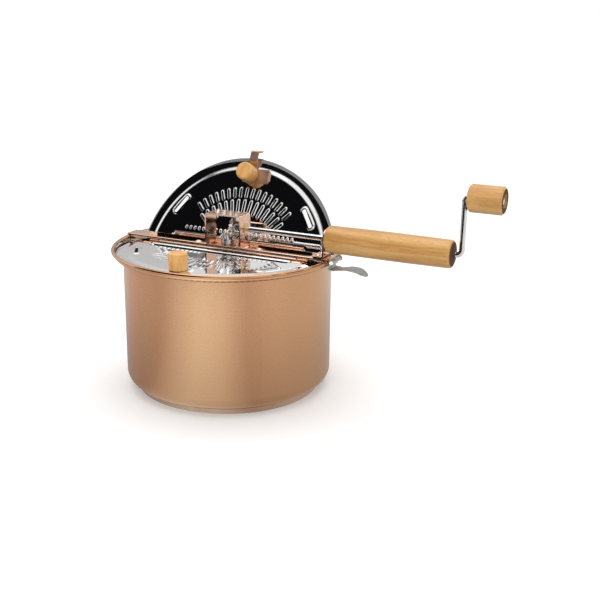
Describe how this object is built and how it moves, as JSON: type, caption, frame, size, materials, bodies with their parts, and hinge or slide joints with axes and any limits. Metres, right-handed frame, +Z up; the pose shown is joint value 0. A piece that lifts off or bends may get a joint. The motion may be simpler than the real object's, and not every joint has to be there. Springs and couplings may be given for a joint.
{
  "type": "stovetop popcorn popper",
  "caption": "Stovetop popcorn popper: copper-plated pot, half lids on a cross bar, geared crank stirrer, wooden handle and knobs, release clip.",
  "frame": {"origin": "centre of the pot underside, on the pot axis", "axes": "+X along the handle, +Y towards the open back lid, +Z up"},
  "size_m": [0.4324, 0.2538, 0.2537],
  "materials": {
    "copper_plate": "satin copper plating on drawn stainless steel, bare stainless inside",
    "base_plate": "satin copper plating on a bonded heat disc",
    "polished_lid": "mirror-polished stainless sheet",
    "copper_strip": "bright copper plating on pressed steel",
    "die_cast": "bright die-cast metal",
    "steel_rod": "bright plated steel",
    "spring_steel": "satin stainless spring strip",
    "bushing": "plain turned bushing",
    "wood": "turned hardwood, clear varnish",
    "fastener": "plated steel fastener"
  },
  "bodies": {
    "pot": {"pot_body": "copper_plate", "base_disc": "base_plate"},
    "lid_frame": {"cross_bar": "copper_strip", "gear_bracket": "copper_strip", "bracket_rivets": "fastener", "rod_bushing": "bushing", "shaft_bushing": "bushing", "handle_bracket": "copper_strip", "handle_rivets": "fastener", "handle": "wood", "handle_screws": "fastener", "front_hinge_rod": "steel_rod", "back_hinge_rod": "steel_rod", "clip_pin": "steel_rod"},
    "crank": {"crank_rod": "steel_rod", "drive_gear": "die_cast", "drive_gear_pin": "steel_rod", "knob_washer": "steel_rod", "knob_retainer": "steel_rod"},
    "crank_knob": {"crank_knob": "wood"},
    "stirrer": {"stirrer_shaft": "steel_rod", "stirrer_gear": "die_cast", "stirrer_gear_pin": "steel_rod", "stirrer_wire": "steel_rod", "shaft_washer": "steel_rod", "shaft_clip": "spring_steel"},
    "front_lid": {"front_lid_panel": "polished_lid", "front_lid_knob": "wood", "front_knob_screw": "fastener"},
    "back_lid": {"back_lid_panel": "polished_lid", "back_lid_knob": "wood", "back_knob_screw": "fastener", "lid_latch": "copper_strip"},
    "release_clip": {"release_clip": "spring_steel"}
  },
  "joints": [
    {"name": "lid_frame_lift", "type": "slide", "parent": "pot", "child": "lid_frame", "axis": [0, 0, 1], "range_m": [0, 0.17]},
    {"name": "crank_turn", "type": "hinge", "parent": "lid_frame", "child": "crank", "pos_m": [0, 0, 0.179], "axis": [1, 0, 0], "continuous": true},
    {"name": "crank_knob_spin", "type": "hinge", "parent": "crank", "child": "crank_knob", "pos_m": [0.2865, 0, 0.237], "axis": [1, 0, 0], "continuous": true},
    {"name": "stirrer_turn", "type": "hinge", "parent": "lid_frame", "child": "stirrer", "pos_m": [0, 0, 0.1574], "axis": [0, 0, 1], "continuous": true},
    {"name": "front_lid_hinge", "type": "hinge", "parent": "lid_frame", "child": "front_lid", "pos_m": [0, -0.0181, 0.1521], "axis": [-1, 0, 0], "range_deg": [0, 80]},
    {"name": "back_lid_hinge", "type": "hinge", "parent": "lid_frame", "child": "back_lid", "pos_m": [0, 0.0181, 0.1521], "axis": [1, 0, 0], "range_deg": [-63.5, 15]},
    {"name": "release_clip_squeeze", "type": "hinge", "parent": "lid_frame", "child": "release_clip", "pos_m": [0.1296, 0, 0.1572], "axis": [0, -1, 0], "range_deg": [0, 20], "stiffness_Nm_per_rad": 0.6, "springref_deg": -5.73}
  ],
  "couplings": [
    {"joint": "stirrer_turn", "follows": "crank_turn", "ratio": 1.3333}
  ]
}
